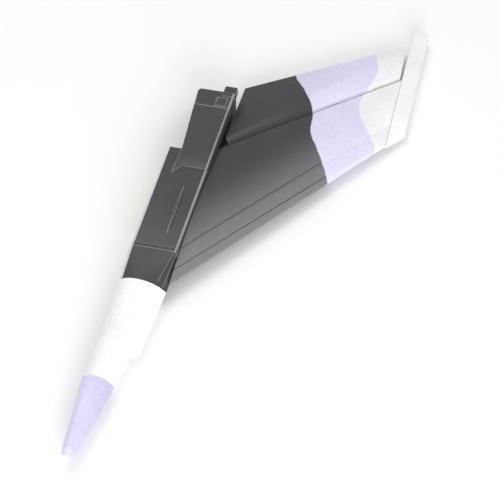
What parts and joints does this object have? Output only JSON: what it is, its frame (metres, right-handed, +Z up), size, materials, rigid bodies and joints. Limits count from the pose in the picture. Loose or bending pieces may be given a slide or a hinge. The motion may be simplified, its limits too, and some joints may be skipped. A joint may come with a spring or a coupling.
{
  "type": "rc jet wing panel",
  "caption": "Left wing panel of a foam radio-control jet with root strake, fairing, full-span elevon, tip rail, servo linkage and joiner sockets",
  "frame": {"origin": "mouth of the main joiner sleeve on the root face", "axes": "+X outboard, +Y aft, +Z up; -X leaves the joiner sockets"},
  "size_m": [0.274, 0.749, 0.0406],
  "materials": {
    "charcoal_foam": "satin",
    "white_foam": "satin",
    "lavender_foam": "satin",
    "charcoal_abs": "satin",
    "carbon_tube": "gloss",
    "birch_plywood": "matte",
    "brass": "polished",
    "white_nylon": "satin",
    "servo_plastic": "satin",
    "plated_steel": "satin",
    "motor_can": "satin",
    "circuit_board": "satin",
    "tray_plastic": "matte",
    "silicone": "satin",
    "lead_insulation": "satin"
  },
  "bodies": {
    "wing_panel": {"fairing_front_cover": "charcoal_abs", "fairing_joint_band": "charcoal_abs", "fairing_main_cover": "charcoal_abs", "fairing_rear_cover": "charcoal_abs", "fairing_rib": "charcoal_abs", "fairing_tail_cap": "charcoal_abs", "hatch_cover": "charcoal_abs", "hinge_pins": "plated_steel", "hinge_wing_leaves": "white_nylon", "lead_plug": "tray_plastic", "leading_edge_strip": "charcoal_foam", "lid_screws": "plated_steel", "main_joiner_sleeve": "carbon_tube", "rear_joiner_sleeve": "carbon_tube", "rear_root_body": "charcoal_foam", "root_rib_plate": "birch_plywood", "root_screw_inserts": "brass", "servo_base_cover": "servo_plastic", "servo_circuit_board": "circuit_board", "servo_gear_case": "servo_plastic", "servo_lead": "lead_insulation", "servo_middle_case": "servo_plastic", "servo_motor": "motor_can", "servo_pocket_lid": "charcoal_abs", "servo_screws": "plated_steel", "servo_tray": "tray_plastic", "strake_and_root_body": "white_foam", "strake_fore_section": "white_foam", "strake_nose_cap": "lavender_foam", "strake_stiffener_rod": "carbon_tube", "tail_tab": "charcoal_abs", "tip_rail": "white_foam", "tip_rail_dowels": "carbon_tube", "wing_core": "charcoal_foam", "wing_spar_rod": "carbon_tube"},
    "elevon": {"elevon": "charcoal_foam", "hinge_elevon_leaves": "white_nylon", "control_horn": "white_nylon", "elevon_stiffener_strip": "carbon_tube"},
    "servo_output": {"servo_output_shaft": "plated_steel", "servo_arm": "white_nylon", "servo_arm_screw": "plated_steel"},
    "pushrod": {"pushrod_wire": "plated_steel", "pushrod_clevis": "white_nylon", "clevis_keeper": "silicone"}
  },
  "joints": [
    {"name": "elevon_hinge", "type": "hinge", "parent": "wing_panel", "child": "elevon", "pos_m": [0.11194, 0.0924, -0.0027], "axis": [0.7243, 0.6887, -0.0316], "range_deg": [-22, 22]},
    {"name": "servo_arm_turn", "type": "hinge", "parent": "wing_panel", "child": "servo_output", "pos_m": [0.14969, 0.05253, -0.00655], "axis": [0.7243, 0.6887, -0.0316], "range_deg": [-22, 22]},
    {"name": "pushrod_pivot", "type": "hinge", "parent": "servo_output", "child": "pushrod", "pos_m": [0.14917, 0.05253, -0.01854], "axis": [0.7243, 0.6887, -0.0316], "range_deg": [-22, 22]}
  ],
  "couplings": [
    {"joint": "servo_arm_turn", "follows": "elevon_hinge", "ratio": 1},
    {"joint": "pushrod_pivot", "follows": "elevon_hinge", "ratio": -1}
  ]
}
